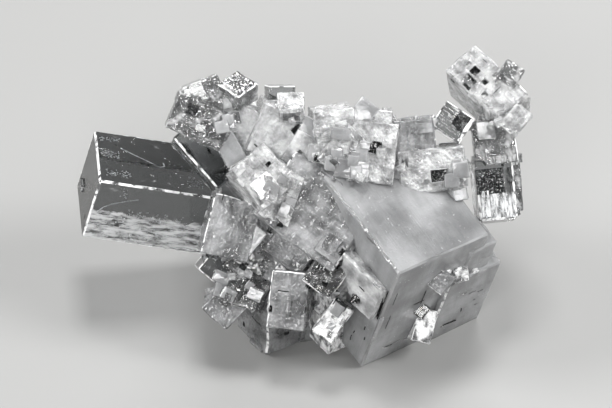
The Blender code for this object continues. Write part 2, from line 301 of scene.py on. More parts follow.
# %% The finishes
MILKY, CLEAR, ETCHED, FROSTED, WHITE_AND_GLINT, HOLLOW_SHADE, WORN_AND_LIT_EDGE, SAWN, CLOUDED, VEILED = range(10)
FINISH_PARTS = ("salt", "cloud", "passing", "roughness", "relief", "clouds")
FINISHES = (
    # name, colour of clear and of cloudy salt, then three numbers each:
    # light passed by clear and by cloudy salt, and how far light spreads in the cloudy salt
    # roughness of clear and of cloudy salt, and the share of the face that is cloudy
    # heights in mm of its lines and pits, of its pyramids and of its grain
    # clouds to a mm, how wide their edges are, and how much they follow the crystal's edges
    ("milky", "#b9babb", "#d6d7d8",
     (0.68, 0.52, 1.00), (0.07, 0.18, 0.48), (0.010, 0.00, 0.00), (0.13, 0.52, 0.18)),
    ("clear", "#d8dadb", "#f6f7f8",
     (1.00, 0.40, 0.00), (0.004, 0.15, 0.03), (0.006, 0.00, 0.02), (0.60, 0.16, 0.50)),
    ("etched", "#aeafb0", "#eeefef",
     (0.92, 0.55, 0.20), (0.02, 0.12, 0.30), (0.050, 0.32, 0.06), (0.50, 0.28, 0.25)),
    ("frosted", "#c0c1c2", "#f8f9f9",
     (0.76, 0.38, 0.25), (0.02, 0.10, 0.54), (0.040, 0.40, 0.08), (0.42, 0.46, 0.30)),
    # white: white salt, and where it is put on sparkling crystals also a painted highlight
    ("white", "#d2d3d4", "#ffffff",
     (0.90, 0.10, 0.10), (0.03, 0.20, 0.64), (0.060, 0.38, 0.12), (0.60, 0.24, 0.25)),
    # hollow: its dark colours are painted shade on the walls of hollows, pits, slots and slits
    ("hollow", "#1b1c1d", "#686a6b",
     (0.90, 0.50, 0.00), (0.02, 0.20, 0.30), (0.030, 0.14, 0.04), (0.70, 0.20, 0.30)),
    # worn edge: its white is chipped salt and also a painted highlight along the edge
    ("worn edge", "#d8d9da", "#ffffff",
     (0.92, 0.15, 0.00), (0.04, 0.22, 0.60), (0.020, 0.05, 0.05), (0.80, 0.16, 0.25)),
    ("sawn", "#dfe0e0", "#eef0f0",
     (0.40, 0.20, 0.50), (0.45, 0.60, 0.90), (0.040, 0.00, 0.10), (0.40, 0.30, 0.20)),
    ("clouded", "#c6c7c8", "#f0f1f1",
     (0.72, 0.42, 0.50), (0.03, 0.10, 0.54), (0.020, 0.20, 0.02), (0.30, 0.44, 0.20)),
    ("veiled", "#9fa0a1", "#cbcccd",
     (0.78, 0.54, 0.35), (0.03, 0.10, 0.50), (0.030, 0.15, 0.02), (0.26, 0.42, 0.30)),
)
print(len(FINISHES), "finishes of one salt")

# %% [markdown]
# ## Halite, as it grew
#
# Six patterns make the surface, and most follow the crystal's edges: a slow wave, cleavage
# lines, which are long fine steps a fraction of a millimetre apart, square etch pits, large
# and small pyramids of an etched face, and the grain of frosted salt. Their heights are added
# up in millimetres, and one Bump node turns the sum into the surface's slope. Where the salt
# is cloudy it lets less light pass and scatters the rest as white, so one mask drives the
# base colour, the transmission and the roughness together.

# %% The salt
IOR_HALITE = 1.544
BRINE_COLOUR = (0.503, 0.505, 0.506, 1.0)  # what is left of white light
BRINE_DENSITY = 215.0         # per metre
CLOUD_SPREAD = 2.5            # mm that light travels sideways in milky salt
salt = bpy.data.materials.new("halite, grown from brine")
salt.use_nodes = True
tree = salt.node_tree
shader = tree.nodes["Principled BSDF"]
shader.inputs["IOR"].default_value = IOR_HALITE
shader.inputs["Subsurface Radius"].default_value = (1.0, 1.0, 1.0)
shader.inputs["Subsurface Scale"].default_value = CLOUD_SPREAD * MM
brine = add_node(tree, "ShaderNodeVolumeAbsorption",
                 inputs={"Color": BRINE_COLOUR, "Density": BRINE_DENSITY})
tree.links.new(brine.outputs["Volume"], tree.nodes["Material Output"].inputs["Volume"])

grain = add_node(tree, "ShaderNodeUVMap", {"uv_map": "grain"}).outputs["UV"]
colour_of, numbers = {}, {}
for name in FINISH_PARTS:
    face = add_node(tree, "ShaderNodeAttribute", {"attribute_name": name})
    colour_of[name] = face.outputs["Color"]
    split = add_node(tree, "ShaderNodeSeparateXYZ", inputs={"Vector": face.outputs["Vector"]})
    numbers[name] = split.outputs

# %% Noise patterns of the salt
PATTERNS = {                  # waves to a mm, stretch along U and V, detail, roughness
    "bands": (0.9, (0.14, 1.0, 1.0), 4.0, 0.6),
    "streaks": (1.5, (0.22, 1.0, 1.0), 5.0, 0.7),
    "ragged": (0.35, (1.0, 0.05, 1.0), 5.0, 0.75),
    "lines along U": (2.4, (0.05, 1.0, 1.0), 3.0, 0.5),
    "lines along V": (2.4, (1.0, 0.05, 1.0), 3.0, 0.5),
    "patches": (0.25, (1.0, 1.0, 1.0), 1.0, 0.5),
    "wave": (0.35, (1.0, 1.0, 1.0), 2.0, 0.5),
    "grain": (2.6, (1.0, 1.0, 1.0), 6.0, 0.7),
}
pattern = {}
for name, (waves, stretch, detail, roughness) in PATTERNS.items():
    place = add_node(tree, "ShaderNodeMapping", inputs={"Vector": grain, "Scale": stretch})
    pattern[name] = add_node(
        tree, "ShaderNodeTexNoise", {"noise_dimensions": "2D"},
        {"Vector": place.outputs["Vector"], "Scale": waves, "Detail": detail,
         "Roughness": roughness}).outputs["Fac"]
SQUARES = {"pits": 1.1, "pyramids": 0.75, "small pyramids": 1.9, "flecks": 0.85}  # to a mm
for name, scale in SQUARES.items():
    pattern[name] = add_node(
        tree, "ShaderNodeTexVoronoi", {"voronoi_dimensions": "2D", "distance": "CHEBYCHEV"},
        {"Vector": grain, "Scale": scale}).outputs["Distance"]
print(len(pattern), "patterns")

# %% Clouds strewn in the salt
CLOUD_MIDDLE = (-0.42, 0.71)  # the mask's middle is the first times the share, plus the second
banks = add_node(tree, "ShaderNodeTexNoise", {"noise_dimensions": "2D"}, {
    "Vector": grain, "Scale": numbers["clouds"]["X"], "Detail": 4.0, "Roughness": 0.5})
mixed = add_node(tree, "ShaderNodeMix", {"data_type": "FLOAT"}, {
    0: numbers["clouds"]["Z"], 2: banks.outputs["Fac"], 3: pattern["bands"]}).outputs[0]
middle = add_node(tree, "ShaderNodeMath", {"operation": "MULTIPLY_ADD"}, {
    0: numbers["roughness"]["Z"], 1: CLOUD_MIDDLE[0], 2: CLOUD_MIDDLE[1]}).outputs[0]
ends = [add_node(tree, "ShaderNodeMath", {"operation": "MULTIPLY_ADD"}, {
    0: numbers["clouds"]["Y"], 1: side, 2: middle}).outputs[0] for side in (-0.5, 0.5)]
strewn = add_node(tree, "ShaderNodeMapRange", {"interpolation_type": "SMOOTHSTEP"}, {
    "Value": mixed, "From Min": ends[0], "From Max": ends[1]}).outputs["Result"]
print(len(tree.nodes), "nodes so far")

# %% Banks of cloud
# A bank of cloud fills a face up to a ragged line. The attribute holds the height above it.
RAGGED = 2.6                  # mm: how far the edge of a bank goes up and down
BANK_FADE = 0.1               # mm: how far above and below its edge a bank fades
STREAKS = (0.36, 0.58)        # where the streak pattern is clear and where it is cloudy
STREAK_LEAST = 0.05           # how cloudy a clear streak still is
above = add_node(tree, "ShaderNodeAttribute", {"attribute_name": "bank"}).outputs["Fac"]
height = add_node(tree, "ShaderNodeMath", {"operation": "MULTIPLY_ADD"}, {
    0: pattern["ragged"], 1: RAGGED, 2: above}).outputs[0]
below = add_node(tree, "ShaderNodeMapRange", inputs={
    "Value": height, "From Min": RAGGED / 2 + BANK_FADE, "From Max": RAGGED / 2 - BANK_FADE})
streaky = add_node(tree, "ShaderNodeMapRange", inputs={
    "Value": pattern["streaks"], "From Min": STREAKS[0], "From Max": STREAKS[1],
    "To Min": STREAK_LEAST})
banked = add_node(tree, "ShaderNodeMath", {"operation": "MULTIPLY"}, {
    0: below.outputs["Result"], 1: streaky.outputs["Result"]}).outputs[0]
cloudy = add_node(tree, "ShaderNodeMath", {"operation": "MAXIMUM"},
                  {0: strewn, 1: banked}).outputs[0]
print("banks go", RAGGED, "mm up and down")

# %% Flecks
# Flecks are single bright bubbles just under the surface, in swarms.
SWARMS = (0.50, 0.68)         # where the wave pattern has the smallest flecks and the largest
FLECK_RADIUS = (0.01, 0.09)   # of those, in cells of the fleck pattern, in the milkiest salt
swarm = add_node(tree, "ShaderNodeMapRange", inputs={
    "Value": pattern["wave"], "From Min": SWARMS[0], "From Max": SWARMS[1],
    "To Min": FLECK_RADIUS[0], "To Max": FLECK_RADIUS[1]})
radius = add_node(tree, "ShaderNodeMath", {"operation": "MULTIPLY"}, {
    0: swarm.outputs["Result"], 1: numbers["passing"]["Z"]})
fleck = add_node(tree, "ShaderNodeMath", {"operation": "LESS_THAN"}, {
    0: pattern["flecks"], 1: radius.outputs[0]}).outputs[0]
cloudy = add_node(tree, "ShaderNodeMath", {"operation": "MAXIMUM"},
                  {0: cloudy, 1: fleck}).outputs[0]
print("flecks with a radius of up to", round(FLECK_RADIUS[1] / SQUARES["flecks"], 2), "mm")

# %% What clouds and flecks change
for socket, part in (("Transmission Weight", "passing"), ("Roughness", "roughness")):
    share = add_node(tree, "ShaderNodeMix", {"data_type": "FLOAT"}, {
        0: cloudy, 2: numbers[part]["X"], 3: numbers[part]["Y"]})
    tree.links.new(share.outputs[0], shader.inputs[socket])
colour = add_node(tree, "ShaderNodeMix", {"data_type": "RGBA"},
                  {0: cloudy, 6: colour_of["salt"], 7: colour_of["cloud"]}).outputs[2]
tree.links.new(numbers["passing"]["Z"], shader.inputs["Subsurface Weight"])
print(len(tree.links), "links")

# %% Fine cracks along the cleavage
# Where a long noise crosses one value there is a hair line along the crystal's edges. Rough
# faces have many and they are dark, smooth faces have few and they are faint.
CRACK_LEVEL = 0.53
CRACK_WIDTH = (0.004, 0.016)  # in the noise's own values
CRACK_COLOUR = "#3c3d3e"
CRACK_GAIN = 10.0             # how dark a crack is, to a mm of relief
CRACK_PLACES = {              # where the patch pattern has no cracks and where it has all
    "lines along U": (0.52, 0.58), "lines along V": (0.48, 0.42),
}
for name, places in CRACK_PLACES.items():
    near = add_node(tree, "ShaderNodeMath", {"operation": "SUBTRACT"},
                    {0: pattern[name], 1: CRACK_LEVEL})
    near = add_node(tree, "ShaderNodeMath", {"operation": "ABSOLUTE"}, {0: near.outputs[0]})
    hair = add_node(tree, "ShaderNodeMapRange", inputs={
        "Value": near.outputs[0], "From Min": CRACK_WIDTH[1], "From Max": CRACK_WIDTH[0]})
    here = add_node(tree, "ShaderNodeMapRange", inputs={
        "Value": pattern["patches"], "From Min": places[0], "From Max": places[1]})
    rough = add_node(tree, "ShaderNodeMath", {"operation": "MULTIPLY", "use_clamp": True},
                     {0: numbers["relief"]["X"], 1: CRACK_GAIN})
    crack = add_node(tree, "ShaderNodeMath", {"operation": "MULTIPLY"},
                     {0: hair.outputs["Result"], 1: here.outputs["Result"]})
    crack = add_node(tree, "ShaderNodeMath", {"operation": "MULTIPLY"},
                     {0: crack.outputs[0], 1: rough.outputs[0]})
    colour = add_node(tree, "ShaderNodeMix", {"data_type": "RGBA"}, {
        0: crack.outputs[0], 6: colour, 7: linear(CRACK_COLOUR)}).outputs[2]
tree.links.new(colour, shader.inputs["Base Color"])
print(len(CRACK_PLACES), "directions of cracks")

# %% Relief of the salt
STEPS_UP = {                  # over which of its values a pattern goes from low to high
    "lines along U": (0.50, 0.56), "lines along V": (0.50, 0.56), "patches": (0.47, 0.53),
    "pits": (0.14, 0.20),     # for pits, the distance from the middle in cells
}
stepped = {}
for name, (bottom, top) in STEPS_UP.items():
    stepped[name] = add_node(tree, "ShaderNodeMapRange", inputs={
        "Value": pattern[name], "From Min": bottom, "From Max": top}).outputs["Result"]
lines = add_node(tree, "ShaderNodeMix", {"data_type": "FLOAT"}, {
    0: stepped["patches"], 2: stepped["lines along U"], 3: stepped["lines along V"]})
frost = add_node(tree, "ShaderNodeMath", {"operation": "MULTIPLY"},
                 {0: pattern["grain"], 1: cloudy})
RELIEF = (                    # pattern, its share of the height, the height that it follows
    (pattern["wave"], 3.0, "X"), (lines.outputs[0], 0.7, "X"),
    (stepped["pits"], 1.0, "X"), (pattern["pyramids"], 1.0, "Y"),
    (pattern["small pyramids"], 0.75, "Y"), (frost.outputs[0], 1.0, "Z"),
)
total = 0.0
for value, share, part in RELIEF:
    full = add_node(tree, "ShaderNodeMath", {"operation": "MULTIPLY"}, {0: value, 1: share})
    total = add_node(tree, "ShaderNodeMath", {"operation": "MULTIPLY_ADD"}, {
        0: full.outputs[0], 1: numbers["relief"][part], 2: total}).outputs[0]
slope = add_node(tree, "ShaderNodeBump", inputs={
    "Height": total, "Distance": MM, "Strength": 1.0})
tree.links.new(slope.outputs["Normal"], shader.inputs["Normal"])
for _ in FINISHES:
    cluster.data.materials.append(salt)  # one slot to a finish while the cluster grows
print(len(tree.nodes), "nodes")

# %% [markdown]
# ## Clear, milky, etched and frosted salt
#
# The salt is one substance, but not one finish. Some crystals grew slowly and are water
# clear. Others trapped clouds of brine and are milky, or are etched or frosted by damp air.
# The crystals are named here with their size, middle and turn, and a face belongs to the one
# on whose surface it lies. A face on none of them is milky. The hollows, where the last brine
# dried, are named by their middle and radius, and their walls are painted dark, as painted
# shade for the shade inside them.

# %% Which finish each crystal has
CRYSTALS = (                  # finish, name, size, middle, turn about X, Y and Z in degrees
    (MILKY, "main block", (17.1, 22.5, 24.3), (11.9, -2.8, 15.0), (18, 3, 37)),
    (MILKY, "side block", (9.9, 12.9, 15.8), (20.4, -1.5, 8.5), (18, 3, 37)),
    (VEILED, "middle block", (15.0, 13.5, 11.7), (2.6, -2.2, 20.9), (-45, 21, -31)),
    (MILKY, "block under the ridge", (9.3, 4.5, 6.6), (10.3, 1.4, 26.6), (44, -4, 3)),
    (CLOUDED, "saddle cube", (6.3, 8.4, 5.4), (0.8, 2.5, 28.8), (-38, 23, -20)),
    (VEILED, "left wedge cube", (7.2, 9.0, 9.0), (-11.1, -4.3, 19.8), (-40, 14, -5)),
    (VEILED, "foot cube", (7.4, 8.1, 11.2), (-4.6, -6.2, 6.0), (2, 1, 35)),
    (VEILED, "foot front cube", (5.7, 9.0, 8.7), (-1.8, -10.2, 11.3), (-32, 2, -8)),
    (VEILED, "left foot cube", (5.0, 6.9, 5.1), (-11.6, -8.6, 8.6), (-37, 35, -25)),
    (VEILED, "waist inner cube", (6.9, 5.1, 9.0), (-1.8, -4.8, 16.1), (44, 27, -25)),
    (VEILED, "waist wide cube", (8.4, 6.9, 7.2), (-5.3, -6.2, 16.5), (-43, 28, -17)),
    (CLEAR, "bar", (23.1, 12.0, 11.2), (-21.3, 6.2, 17.4), (0, 15, 5)),
    (CLEAR, "blue-grey cube", (3.6, 5.1, 3.0), (-16.2, 10.2, 34.0), (-37, -17, 15)),
    (ETCHED, "ribbed cube", (2.6, 5.1, 4.5), (-13.4, 9.2, 35.1), (-39, -15, 20)),
    (CLEAR, "small clear cube", (4.2, 3.3, 2.2), (-3.5, 10.8, 33.5), (-34, 6, 8)),
    (FROSTED, "hollow-faced cube", (3.9, 4.5, 2.4), (-1.8, 5.0, 35.4), (-5, -2, 1)),
    (CLEAR, "clear plate", (5.1, 10.2, 6.9), (-14.5, 2.2, 28.5), (39, -24, 35)),
    (CLEAR, "dark window cube", (5.1, 4.5, 6.9), (22.3, 6.7, 31.0), (45, 25, -23)),
    (FROSTED, "tower head", (6.1, 11.6, 9.3), (27.8, 11.3, 32.8), (17, -22, 39)),
    (ETCHED, "tower top bud", (3.3, 3.9, 3.3), (30.9, 10.4, 37.3), (-44, 23, -20)),
    (FROSTED, "tower side bud", (3.3, 4.2, 3.9), (31.6, 4.4, 33.4), (42, 29, -28)),
    (ETCHED, "tower neck", (6.3, 6.6, 6.6), (28.6, 6.2, 27.6), (-40, -6, 5)),
    (CLEAR, "tower foot", (5.7, 6.9, 9.4), (28.5, 1.6, 22.1), (-44, 0, 8)),
    (ETCHED, "tower foot edge", (2.6, 6.0, 8.1), (31.3, 2.6, 22.4), (-40, -3, 3)),
    (CLEAR, "banded cube", (6.9, 6.6, 3.9), (-12.2, -6.3, 12.8), (-44, 35, -22)),
    (ETCHED, "left waist cube", (6.0, 7.5, 5.1), (-7.9, -5.8, 14.2), (-45, 24, -22)),
    (ETCHED, "waist front cube", (6.0, 7.5, 4.8), (-8.5, -8.6, 10.9), (-42, 15, -13)),
    (ETCHED, "inner foot cube", (5.1, 6.0, 7.5), (3.5, -10.1, 15.7), (44, 26, -24)),
    (CLOUDED, "head cube", (7.2, 10.5, 7.8), (-4.3, 6.1, 29.9), (-34, 23, -9)),
    (CLOUDED, "head core", (8.4, 7.5, 6.9), (-9.8, 6.9, 30.2), (-37, 12, -18)),
    (ETCHED, "frosted cube", (8.8, 6.9, 5.6), (-15.5, 4.6, 33.2), (-37, 21, -13)),
    (ETCHED, "peak cube", (4.3, 4.4, 3.2), (-9.8, 7.9, 36.0), (0, 2, -43)),
    (FROSTED, "white heart cube", (6.9, 7.8, 7.5), (-6.6, -2.3, 27.3), (38, -17, 40)),
    (FROSTED, "frosted strip", (5.1, 9.0, 7.8), (-3.1, -2.2, 24.1), (-40, 26, -9)),
    (FROSTED, "ridge front cube", (5.7, 7.5, 6.9), (5.9, 1.8, 29.8), (-43, 37, -20)),
    (FROSTED, "ridge middle", (7.8, 7.5, 9.0), (9.9, 2.0, 29.2), (-40, 5, -4)),
    (FROSTED, "ridge left cube", (6.0, 7.5, 6.0), (4.3, 4.2, 32.3), (-32, -1, 9)),
    (FROSTED, "ridge right cube", (3.9, 6.0, 5.4), (11.3, 4.8, 31.6), (-36, 2, -1)),
    (VEILED, "back shelf", (6.8, 8.4, 11.1), (16.5, 3.4, 27.5), (-37, -5, 4)),
    (FROSTED, "front shelf", (10.2, 8.4, 6.4), (19.2, 1.7, 26.2), (-37, -5, 4)),
    (CLOUDED, "left ledge", (10.2, 5.4, 6.7), (9.2, -12.3, 16.6), (-11, 16, -44)),
    # Their white finish is white salt and also paints in the glints that they catch.
    (WHITE_AND_GLINT, "sparkling foot cube", (5.0, 5.6, 13.4), (4.4, -7.9, 7.2), (2, 1, 35)),
    (WHITE_AND_GLINT, "sparkling twin", (3.3, 6.0, 6.0), (4.5, -14.0, 10.1), (-41, 25, -23)),
    (WHITE_AND_GLINT, "bright groove crystal", (3.0, 3.9, 5.1), (17.9, -9.6, 5.1), (-39, 17, -1)),
    (CLEAR, "groove bud", (1.8, 2.1, 2.7), (17.7, -10.7, 8.9), (42, 29, -28)),
    (VEILED, "grey notch cube", (2.8, 3.9, 3.3), (20.8, -11.6, 15.7), (-39, 25, -31)),
    (WHITE_AND_GLINT, "white notch cube", (2.2, 3.0, 2.0), (23.3, -9.5, 15.4), (-11, -4, 15)),
)
NAMED = {crystal[1]: crystal for crystal in CRYSTALS}
# The walls of these hollows get the hollow finish, which is painted shade.
HOLLOWS = (                   # name, middle and radius in mm
    ("head pits", (26.2, 10.0, 37.4), 2.6), ("head side pit", (27.1, 8.6, 36.6), 1.2),
    ("frosted cube pits", (-16.0, 2.8, 36.2), 1.8), ("low pit", (-15.3, 1.2, 34.2), 1.4),
    ("ridge pit", (11.0, -0.2, 32.2), 1.3), ("shelf pit", (15.1, -1.0, 29.4), 1.2),
    ("shelf square", (21.1, -2.0, 28.2), 0.8), ("ledge hole", (6.4, -13.8, 13.5), 2.2),
    ("window recess", (23.5, 4.1, 33.0), 2.2), ("foot window", (27.9, 0.3, 25.0), 3.1),
    ("hollow face", (-1.8, 3.3, 35.4), 1.8), ("waist hollow", (-7.4, -8.2, 17.0), 1.7),
    ("low waist hollow", (-6.8, -9.4, 15.6), 1.4), ("banded hollow", (-9.9, -9.4, 13.5), 1.5),
)
ON_SURFACE = 0.42             # mm: a face this close to a crystal's surface is on it
IN_HOLLOW = 0.30              # mm: and this deep under it, it may be a hollow's wall
SAWN_DOWN = 0.99              # a face that looks down this squarely
SAWN_HEIGHT = 0.01 * MM       # and lies this low is the flat cut


def turned(angles):
    """The turn of a crystal, from its three angles in degrees."""
    return Euler([math.radians(angle) for angle in angles], "XYZ").to_matrix()


def off_surface(point, size, middle, turn):
    """How far a point lies outside a block's surface, in mm. Inside it is negative."""
    local = turned(turn).transposed() @ (point / MM - Vector(middle))
    beyond = [abs(local[i]) - size[i] / 2 for i in range(3)]
    outside = math.sqrt(sum(max(b, 0.0) ** 2 for b in beyond))
    return outside if outside > 0 else max(beyond)


def finish_of(polygon):
    """The finish of the nearest crystal's surface, or of the cut, or the painted shade of a
    hollow's wall.
    """
    if polygon.normal.z < -SAWN_DOWN and polygon.center.z < SAWN_HEIGHT:
        return SAWN
    place = polygon.center / MM
    in_hollow = any((place - Vector(middle)).length < radius for _, middle, radius in HOLLOWS)
    nearest, finish = ON_SURFACE, MILKY
    for kind, _, size, middle, turn in CRYSTALS:
        distance = abs(off_surface(polygon.center, size, middle, turn))
        if distance < nearest:
            nearest, finish = distance, kind
    return HOLLOW_SHADE if in_hollow and nearest > IN_HOLLOW else finish


for polygon in cluster.data.polygons:
    polygon.material_index = finish_of(polygon)
    polygon.use_smooth = False
print("faces of each finish:", [
    sum(1 for polygon in cluster.data.polygons if polygon.material_index == index)
    for index in range(len(FINISHES))])

# %% [markdown]
# ## Worn edges and painted edge highlights
#
# The sharp edge of a crystal is the first to chip and to melt in damp air, which leaves it
# white. That white is also a painted highlight, for the white line of light that an edge
# catches. The solid has these edges as long narrow faces, so they can be told by their shape.
# Clear crystals get them all, where they show most, and the others get some of them at
# random.

# %% Worn edges and painted edge highlights
WORN_SEED = 31
WORN_WIDTH = 0.43             # mm: a face narrower than this is a worn edge
WORN_LENGTH = 2.0             # mm: if one of its sides is longer than this
WORN_SHARE = 0.20             # of the edges of crystals that are neither clear nor milky


def longest_edge(mesh, polygon):
    """The length of a polygon's longest side, in metres."""
    points = [mesh.vertices[index].co for index in polygon.vertices]
    return max((b - a).length for a, b in zip(points, points[1:] + points[:1]))


worn = 0
chance = random.Random(WORN_SEED)
for polygon in cluster.data.polygons:
    length = longest_edge(cluster.data, polygon)
    narrow = polygon.area < length * WORN_WIDTH * MM and length > WORN_LENGTH * MM
    if narrow and polygon.material_index not in (SAWN, MILKY):
        if polygon.material_index == CLEAR or chance.random() < WORN_SHARE:
            # The edge is painted white, both as wear and as a painted highlight.
            polygon.material_index = WORN_AND_LIT_EDGE
            worn += 1
print(worn, "worn edges")

# %% [markdown]
# ## Growth steps, late crystals and etch pits
#
# Salt grows in layers, so its faces carry low square steps. Where two crystals meet, small
# late ones crowd the seam. And where damp air has touched a face, it is etched into square
# pits. All three are cubes or flat blocks that keep the turn of the face that they sit on.
# One worn block is modelled by hand: a cube with its edges bevelled. Every step, crystal and
# pit is a copy of it, stretched and placed, and three Booleans add and cut them.

# %% One worn block
BLOCK_WEAR = 0.03             # width of the worn edge, in sides of the block
bpy.ops.object.select_all(action="DESELECT")
bpy.ops.mesh.primitive_cube_add(size=1.0, location=(0, 0, 0))
worn_block = bpy.context.object
bpy.ops.object.mode_set(mode="EDIT")
bpy.ops.mesh.select_all(action="SELECT")
bpy.ops.mesh.bevel(offset=BLOCK_WEAR, segments=1, affect="EDGES")
bpy.ops.object.mode_set(mode="OBJECT")
worn_block.name = "worn block"
BOX_MARGIN = 0.02 * MM        # how far inside the solid's box every block ends


def new_collection(name):
    """An empty collection in the scene."""
    collection = bpy.data.collections.new(name)
    bpy.context.scene.collection.children.link(collection)
    return collection


def place_block(collection, size, centre, across, normal, finish):
    """A copy of the worn block: its size in mm, its middle, the face that it sits on, and
    the finish that its own faces get."""
    along = normal.cross(across)
    turn = Matrix((across, along, normal)).transposed().to_4x4()
    stretch = Matrix.Diagonal((*[value * MM for value in size], 1.0))
    mesh = worn_block.data.copy()
    mesh.transform(Matrix.Translation(centre) @ turn @ stretch)
    for polygon in mesh.polygons:
        polygon.material_index = finish
    block = bpy.data.objects.new(collection.name, mesh)
    collection.objects.link(block)
    return block


def inside_box(block):
    """True if a block lies in the solid's own box, and above the floor."""
    points = [vertex.co for vertex in block.data.vertices]
    return all(
        low[i] + BOX_MARGIN < min(point[i] for point in points)
        and max(point[i] for point in points) < high[i] - BOX_MARGIN
        for i in range(3)
    )


print("one block with", len(worn_block.data.polygons), "faces")

# %% Low steps on the faces
STEP_SEED = 12
STEP_COUNT = 60
STEP_PLANES = (9.0, 130.0)    # square mm: smaller and larger faces carry no step
STEP_WIDTH = (0.9, 5.5)       # mm
STEP_LEAST = 0.3              # mm: a face counts as at least this wide from the step's middle
STEP_HEIGHT = (0.10, 0.38)    # how far it stands proud, mm
STEP_DEPTH = 1.0              # how far it reaches in, mm
STEP_FIT = 1.86               # how much of its face a step may fill, in half widths


def point_on(mesh, triangle, chance):
    """A random point of a triangle, evenly spread."""
    a, b, c = [mesh.vertices[index].co for index in triangle.vertices]
    s, t = chance.random(), chance.random()
    if s + t > 1.0:
        s, t = 1.0 - s, 1.0 - t
    return a + (b - a) * s + (c - a) * t


def sample_faces(mesh, count, planes, chance):
    """Random points on faces of a size: the point, its polygon and its edges' direction."""
    mesh.calc_loop_triangles()
    least, most = planes
    fitting = [t for t in mesh.loop_triangles if least < area[t.polygon_index] < most]
    for triangle in chance.choices(fitting, weights=[t.area for t in fitting], k=count):
        polygon = mesh.polygons[triangle.polygon_index]
        yield point_on(mesh, triangle, chance), polygon, direction[polygon.index]


def reach_in_face(polygon, mesh, point, across):
    """How far the face goes on from a point, along its two directions, at the least."""
    along = polygon.normal.cross(across)
    spans = []
    for axis in (across, along):
        values = [(mesh.vertices[index].co - point).dot(axis) for index in polygon.vertices]
        spans.append(min(max(values), -min(values)) / MM)
    return spans


steps = new_collection("steps")
chance = random.Random(STEP_SEED)
mesh = cluster.data
for point, polygon, across in sample_faces(mesh, STEP_COUNT, STEP_PLANES, chance):
    spans = reach_in_face(polygon, mesh, point, across)
    width = [min(STEP_FIT * max(span, STEP_LEAST), chance.uniform(*STEP_WIDTH)) for span in spans]
    proud = chance.uniform(*STEP_HEIGHT)
    size = (width[0], width[1], proud + STEP_DEPTH)
    centre = point + polygon.normal * (proud - STEP_DEPTH) / 2 * MM
    block = place_block(steps, size, centre, across, polygon.normal, polygon.material_index)
    if not inside_box(block):
        bpy.data.objects.remove(block)

# %% Cloudy plates, listed one by one
# A face of a crystal: its own axis, which way it looks, and the two axes that lie in it.
FRONT, TOP, LEFT = (1, -1, 0, 2), (2, 1, 0, 1), (0, -1, 1, 2)
PLATES = (                    # finish, crystal, face, middle on the face, size and height
    # The white plate on the heart cube is a painted highlight.
    (WHITE_AND_GLINT, "white heart cube", TOP, (-1.0, -1.1), (3.4, 2.8), 0.30),
    (WHITE_AND_GLINT, "frosted strip", TOP, (0.4, 2.0), (1.6, 2.2), 0.15),
)


def place_on(collection, finish, name, face, place, size, height, depth):
    """A block on a crystal's face, so high above it and so deep in it, all in mm."""
    _, _, crystal_size, middle, turn = NAMED[name]
    axis, way, first, second = face
    axes = turned(turn)
    normal = axes.col[axis] * way
    rise = crystal_size[axis] / 2 + (height - depth) / 2
    centre = Vector(middle) + normal * rise
    centre += axes.col[first] * place[0] + axes.col[second] * place[1]
    block_size = (*size, height + depth)
    place_block(collection, block_size, centre * MM, axes.col[first], normal, finish)


for finish, name, face, place, size, height in PLATES:
    place_on(steps, finish, name, face, place, size, height, STEP_DEPTH)
print(len(PLATES), "cloudy plates")

# %% Late crystals along the seams
LATE_SEED = 5
LATE_COUNT = 260
LATE_SIDE = (0.5, 1.9)        # mm
LATE_SHRINK = (0.6, 1.0)      # most are a little smaller than that
LATE_SHAPE = (0.75, 1.3)      # how far its sides differ from a cube's
LATE_SUNK = 0.12              # how deep its middle lies in the seam, in its own sides
LATE_WOBBLE = 32.0            # degrees
SEAM_LEAST = 0.6 * MM         # shorter seams carry none
SEAM_ANGLE = math.radians(20)


def seams_of(mesh):
    """The inward edges, where two crystals meet: both ends, and the two faces' normals."""
    bm = bmesh.new()
    bm.from_mesh(mesh)
    found = []
    for edge in bm.edges:
        if edge.is_manifold and edge.calc_length() > SEAM_LEAST:
            if edge.calc_face_angle_signed() < -SEAM_ANGLE:
                faces = edge.link_faces
                found.append((edge.verts[0].co.copy(), edge.verts[1].co.copy(),
                              faces[0].normal.copy(), faces[1].normal.copy(),
                              direction[faces[0].index], faces[0].material_index))
    bm.free()
    return found


late = new_collection("late crystals")
chance = random.Random(LATE_SEED)
seams = seams_of(cluster.data)
weights = [(end - start).length for start, end, *_ in seams]
for seam in chance.choices(seams, weights=weights, k=LATE_COUNT):
    start, end, normal, other, across, host = seam
    side = chance.uniform(*LATE_SIDE) * chance.uniform(*LATE_SHRINK)
    size = [side * chance.uniform(*LATE_SHAPE) for _ in range(3)]
    out = (normal + other).normalized()
    centre = start.lerp(end, chance.random()) - out * side * LATE_SUNK * MM
    wobble = Euler([math.radians(chance.uniform(-LATE_WOBBLE, LATE_WOBBLE)) for _ in range(3)])
    wobble = wobble.to_matrix()
    finish = chance.choice((host, host, ETCHED, FROSTED, CLEAR, WHITE_AND_GLINT))
    block = place_block(late, size, centre, wobble @ across, wobble @ normal, finish)
    if not inside_box(block):
        bpy.data.objects.remove(block)

